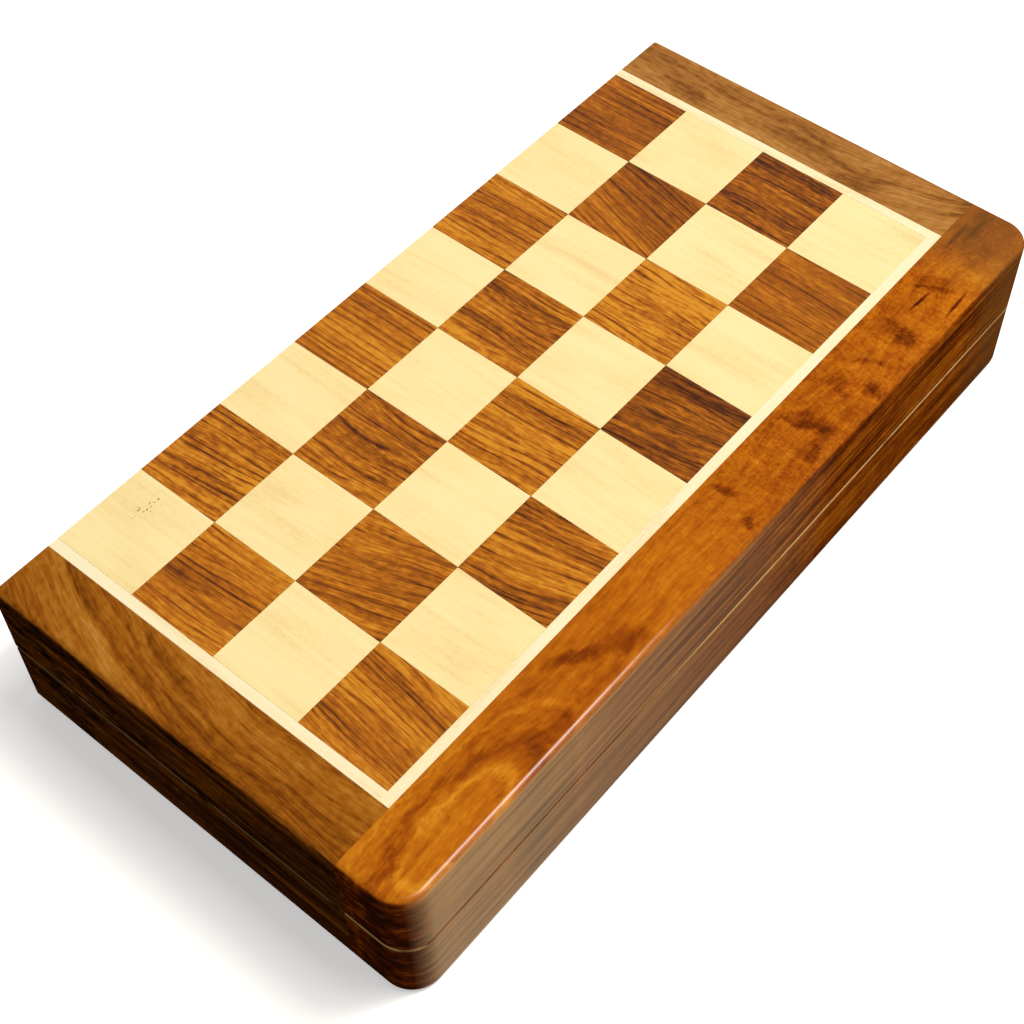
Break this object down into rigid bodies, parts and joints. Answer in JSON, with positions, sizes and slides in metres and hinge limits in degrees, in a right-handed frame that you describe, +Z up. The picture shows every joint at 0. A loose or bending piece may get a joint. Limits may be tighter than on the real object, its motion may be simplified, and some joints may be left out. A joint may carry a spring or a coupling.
{
  "type": "folding chess set",
  "caption": "Shallow hinged wooden case whose outer faces are the two halves of a chess board, with the men lying in slotted pads inside.",
  "frame": {"origin": "centre of the underside of the closed case's box, hinge knuckles included", "axes": "+X along the hinge, +Y towards the hinge, +Z up out of the upper half of the board"},
  "size_m": [0.304, 0.155, 0.056],
  "materials": {
    "border_wood": "satin lacquered rosewood",
    "inner_wood": "satin lacquered rosewood",
    "dark_wood": "satin lacquered rosewood",
    "light_wood": "satin lacquered maple",
    "plywood": "bare plywood",
    "felt": "green felt over foam",
    "brass": "polished brass",
    "magnet": "nickel-plated magnet",
    "light_men_wood": "lacquered boxwood",
    "dark_men_wood": "lacquered rosewood"
  },
  "bodies": {
    "lower_half": {"left_hinge_pin": "brass", "light_bishops": "light_men_wood", "light_king": "light_men_wood", "light_knights": "light_men_wood", "light_pawns": "light_men_wood", "light_queen": "light_men_wood", "light_rooks": "light_men_wood", "lower_closing_magnets": "magnet", "lower_core_panel": "plywood", "lower_dark_squares": "dark_wood", "lower_front_rail": "border_wood", "lower_front_stringing": "light_wood", "lower_hinge_rail": "inner_wood", "lower_hinge_screws": "brass", "lower_left_end_rail": "border_wood", "lower_left_hinge_leaf": "brass", "lower_light_squares": "light_wood", "lower_officer_pad": "felt", "lower_pad_lining": "felt", "lower_pawn_pad": "felt", "lower_right_end_rail": "border_wood", "lower_right_hinge_leaf": "brass", "lower_side_stringings": "light_wood", "right_hinge_pin": "brass"},
    "upper_half": {"dark_bishops": "dark_men_wood", "dark_king": "dark_men_wood", "dark_knights": "dark_men_wood", "dark_pawns": "dark_men_wood", "dark_queen": "dark_men_wood", "dark_rooks": "dark_men_wood", "upper_closing_magnets": "magnet", "upper_core_panel": "plywood", "upper_dark_squares": "dark_wood", "upper_front_rail": "border_wood", "upper_front_stringing": "light_wood", "upper_hinge_rail": "inner_wood", "upper_hinge_screws": "brass", "upper_left_end_rail": "border_wood", "upper_left_hinge_leaf": "brass", "upper_light_squares": "light_wood", "upper_officer_pad": "felt", "upper_pad_lining": "felt", "upper_pawn_pad": "felt", "upper_right_end_rail": "border_wood", "upper_right_hinge_leaf": "brass", "upper_side_stringings": "light_wood"}
  },
  "joints": [
    {"name": "fold", "type": "hinge", "parent": "lower_half", "child": "upper_half", "pos_m": [0, 0.07593, 0.028], "axis": [-1, 0, 0], "range_deg": [0, 180]}
  ]
}
